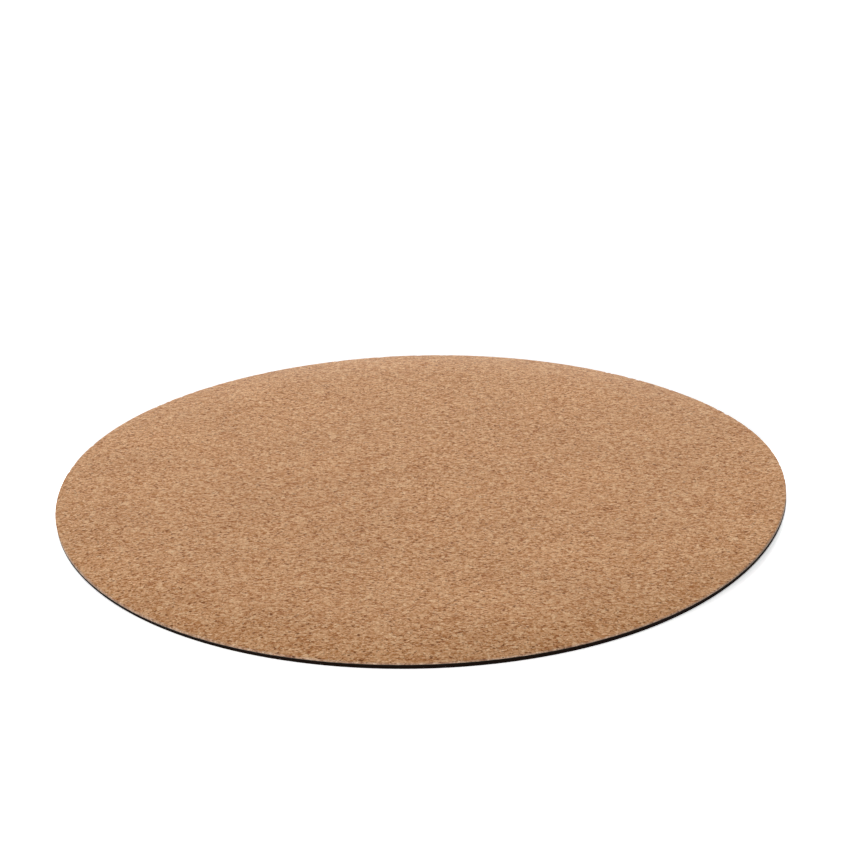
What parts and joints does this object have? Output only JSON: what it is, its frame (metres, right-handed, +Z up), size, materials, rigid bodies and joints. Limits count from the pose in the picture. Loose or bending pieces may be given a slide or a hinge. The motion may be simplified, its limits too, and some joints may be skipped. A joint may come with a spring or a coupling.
{
  "type": "mouse pad",
  "caption": "Round thin flexible cork mouse pad on a black rubber base, lying flat on a desk.",
  "frame": {"origin": "centre of the round underside, on the surface that the pad lies on", "axes": "+Z up, square to the sheets, towards the cork working surface; +X to the right and +Y away from the person who uses it"},
  "size_m": [0.2, 0.2, 0.0017],
  "materials": {
    "base_rubber": "matte",
    "adhesive": "satin",
    "cork": "matte"
  },
  "bodies": {
    "root": {"base_sheet": "base_rubber", "adhesive_film": "adhesive", "cork_sheet": "cork"}
  },
  "joints": []
}
